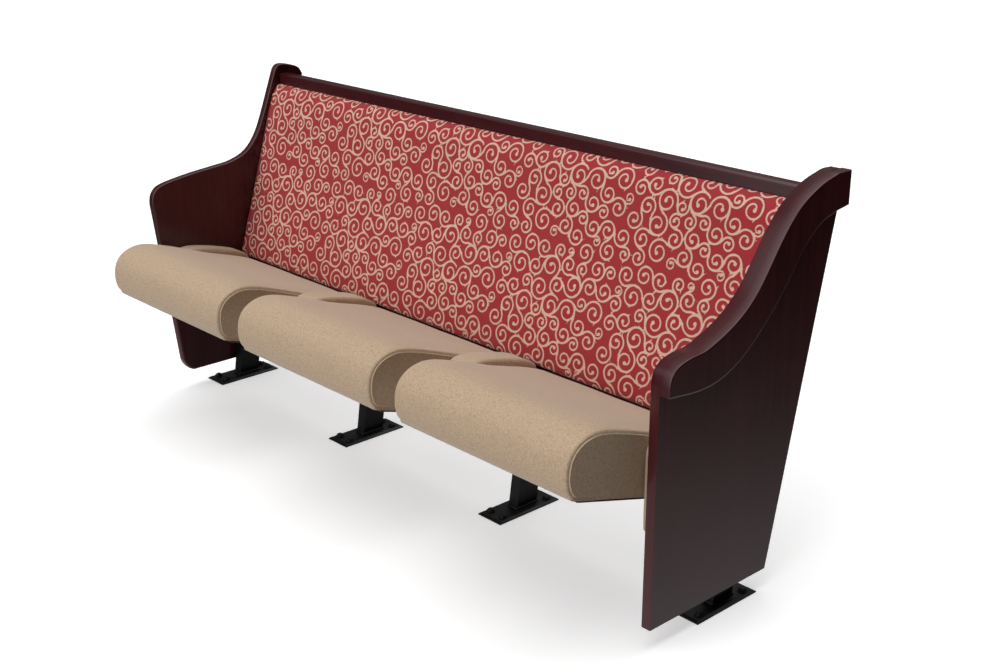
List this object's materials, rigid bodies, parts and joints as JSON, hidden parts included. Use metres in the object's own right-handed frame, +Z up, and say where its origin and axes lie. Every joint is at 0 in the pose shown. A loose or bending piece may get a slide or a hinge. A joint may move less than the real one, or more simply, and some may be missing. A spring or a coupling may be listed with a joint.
{
  "type": "church pew",
  "caption": "Church pew with shaped wooden ends, a long upholstered back and tip-up upholstered seats hinged on steel floor standards.",
  "frame": {"origin": "on the floor, at the middle of the pew's footprint box", "axes": "+X towards the right-hand end as seen by somebody looking at the front, +Y towards the rear, +Z up"},
  "size_m": [1.8524, 0.685, 0.88],
  "materials": {
    "wood": "semi-gloss dark mahogany stain over a fine, straight grain",
    "tan_fabric": "matt heathered tan upholstery weave",
    "scroll_fabric": null,
    "black_steel": "black powder coat, slightly textured",
    "bright_steel": "plain turned steel",
    "bolt_steel": "dark, slightly shiny bolt heads",
    "seat_board": "dark red-brown stained board, satin",
    "nylon": "natural nylon"
  },
  "bodies": {
    "frame": {"left_end_panel": "wood", "right_end_panel": "wood", "right_end_cap": "wood", "back_board": "wood", "back_pad": "scroll_fabric", "top_rail": "wood", "foot_plate_1": "black_steel", "standard_1": "black_steel", "pivot_pin_1": "bright_steel", "stop_rod_1": "black_steel", "filler_1": "tan_fabric", "anchor_bolt_1_1": "bolt_steel", "anchor_bolt_1_2": "bolt_steel", "anchor_bolt_1_3": "bolt_steel", "anchor_bolt_1_4": "bolt_steel", "foot_plate_2": "black_steel", "standard_2": "black_steel", "pivot_pin_2": "bright_steel", "stop_rod_2": "black_steel", "filler_2": "tan_fabric", "anchor_bolt_2_1": "bolt_steel", "anchor_bolt_2_2": "bolt_steel", "anchor_bolt_2_3": "bolt_steel", "anchor_bolt_2_4": "bolt_steel", "foot_plate_3": "black_steel", "standard_3": "black_steel", "pivot_pin_3": "bright_steel", "stop_rod_3": "black_steel", "filler_3": "tan_fabric", "anchor_bolt_3_1": "bolt_steel", "anchor_bolt_3_2": "bolt_steel", "anchor_bolt_3_3": "bolt_steel", "anchor_bolt_3_4": "bolt_steel", "foot_plate_4": "black_steel", "standard_4": "black_steel", "pivot_pin_4": "bright_steel", "stop_rod_4": "black_steel", "filler_4": "tan_fabric", "anchor_bolt_4_1": "bolt_steel", "anchor_bolt_4_2": "bolt_steel", "anchor_bolt_4_3": "bolt_steel", "anchor_bolt_4_4": "bolt_steel"},
    "seat_1": {"seat_cushion_1": "tan_fabric", "seat_pan_1": "seat_board", "hinge_plate_1_left": "black_steel", "bushing_1_left": "nylon", "hinge_plate_1_right": "black_steel", "bushing_1_right": "nylon"},
    "seat_2": {"seat_cushion_2": "tan_fabric", "seat_pan_2": "seat_board", "hinge_plate_2_left": "black_steel", "bushing_2_left": "nylon", "hinge_plate_2_right": "black_steel", "bushing_2_right": "nylon"},
    "seat_3": {"seat_cushion_3": "tan_fabric", "seat_pan_3": "seat_board", "hinge_plate_3_left": "black_steel", "bushing_3_left": "nylon", "hinge_plate_3_right": "black_steel", "bushing_3_right": "nylon"}
  },
  "joints": [
    {"name": "seat_1_tip", "type": "hinge", "parent": "frame", "child": "seat_1", "pos_m": [-0.59605, 0.0055, 0.29], "axis": [-1, 0, 0], "range_deg": [0, 65]},
    {"name": "seat_2_tip", "type": "hinge", "parent": "frame", "child": "seat_2", "pos_m": [-0.01185, 0.0055, 0.29], "axis": [-1, 0, 0], "range_deg": [0, 65]},
    {"name": "seat_3_tip", "type": "hinge", "parent": "frame", "child": "seat_3", "pos_m": [0.57235, 0.0055, 0.29], "axis": [-1, 0, 0], "range_deg": [0, 65]}
  ]
}
